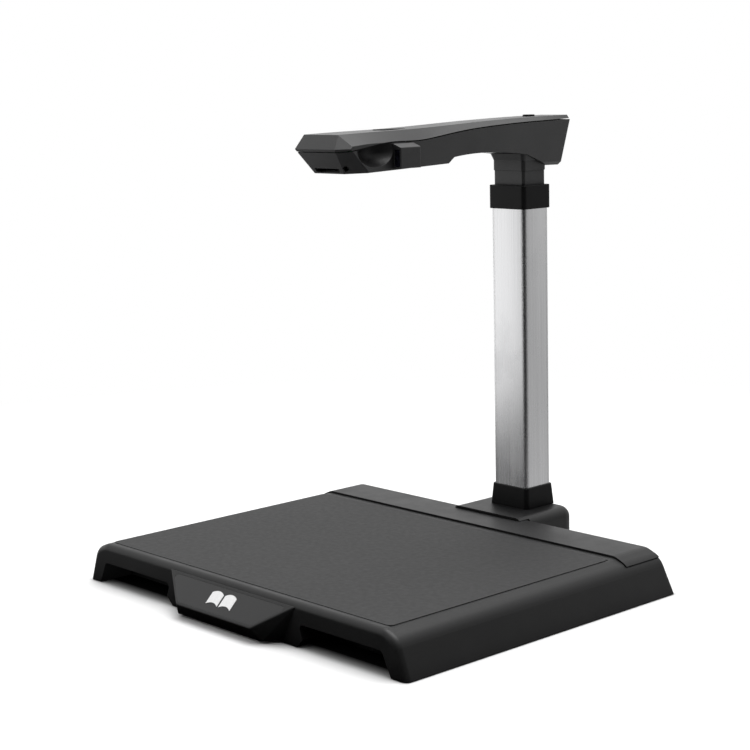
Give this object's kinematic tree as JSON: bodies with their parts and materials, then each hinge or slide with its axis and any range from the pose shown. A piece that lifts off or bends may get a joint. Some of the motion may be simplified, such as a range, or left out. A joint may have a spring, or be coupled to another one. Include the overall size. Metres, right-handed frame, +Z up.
{
  "type": "book scanner",
  "caption": "Desktop book scanner: low document base with finger openings, telescopic metal column behind it and an overhanging camera arm with a tilting side camera.",
  "frame": {"origin": "centre of the base's flat underside; the rubber feet stand 0.5 mm below it", "axes": "+Z up, +X to the user's right across the base, -Y towards the user; the column stands behind the base at +Y"},
  "size_m": [0.3428, 0.3474, 0.3348],
  "materials": {
    "black_shell": "fine moulded texture, satin black",
    "arm_shell": "fine spark-eroded texture, soft grey-black",
    "black_trim": "smooth dark trim",
    "badge": "smooth plate let in flush",
    "emblem": "white raised pictogram",
    "bed": "fine-grained soft mat",
    "foot_rubber": "soft black rubber",
    "column_metal": "brushed along its length, clear anodised",
    "steel": "plain zinc-plated steel",
    "screw_steel": "blackened steel",
    "circuit_board": "green solder mask",
    "chip": "moulded chip",
    "nylon": "natural nylon",
    "cable_jacket": "soft jacket",
    "clear": "clear window",
    "dark_glass": "dark tinted window",
    "lamp": "white lamp with yellow phosphor",
    "lens_body": "black anodised"
  },
  "bodies": {
    "base": {"base_shell": "black_shell", "badge_plate": "badge", "badge_emblem": "emblem", "base_bottom_cover": "black_shell", "rubber_feet": "foot_rubber", "bottom_screws": "screw_steel", "rear_deck_cover": "black_shell", "bed_mat": "bed", "ballast_plate": "steel", "control_board": "circuit_board", "usb_sockets": "steel", "base_cable": "cable_jacket", "column_housing": "black_shell", "column_bracket": "steel", "bracket_screws": "steel", "column_tube": "column_metal", "column_socket": "black_trim", "upper_collar": "black_trim"},
    "arm": {"inner_mast": "arm_shell", "guide_pads": "nylon", "mast_cable": "cable_jacket", "arm_lower_shell": "arm_shell", "arm_upper_shell": "arm_shell", "arm_screws": "screw_steel", "camera_board": "circuit_board", "image_sensor": "chip", "lens_barrel": "lens_body", "lens_glass": "clear", "lens_window": "clear", "led_board": "circuit_board", "leds": "lamp", "led_lenses": "clear", "touch_strip": "black_trim", "button_switch": "chip"},
    "side_camera": {"side_camera_housing": "arm_shell", "side_camera_window": "dark_glass", "side_camera_lens": "lens_body", "side_camera_shaft": "steel", "shaft_clip": "steel"},
    "top_button": {"top_button": "black_trim"}
  },
  "joints": [
    {"name": "mast_slide", "type": "slide", "parent": "base", "child": "arm", "axis": [0, 0, 1], "range_m": [-0.008, 0.07]},
    {"name": "side_camera_tilt", "type": "hinge", "parent": "arm", "child": "side_camera", "pos_m": [0.0266, 0.01215, 0.30955], "axis": [1, 0, 0], "range_deg": [-30, 90]},
    {"name": "button_press", "type": "slide", "parent": "arm", "child": "top_button", "axis": [0, 0, -1], "range_m": [0, 0.0006], "stiffness_N_per_m": 900, "springref_m": -0.0008}
  ]
}
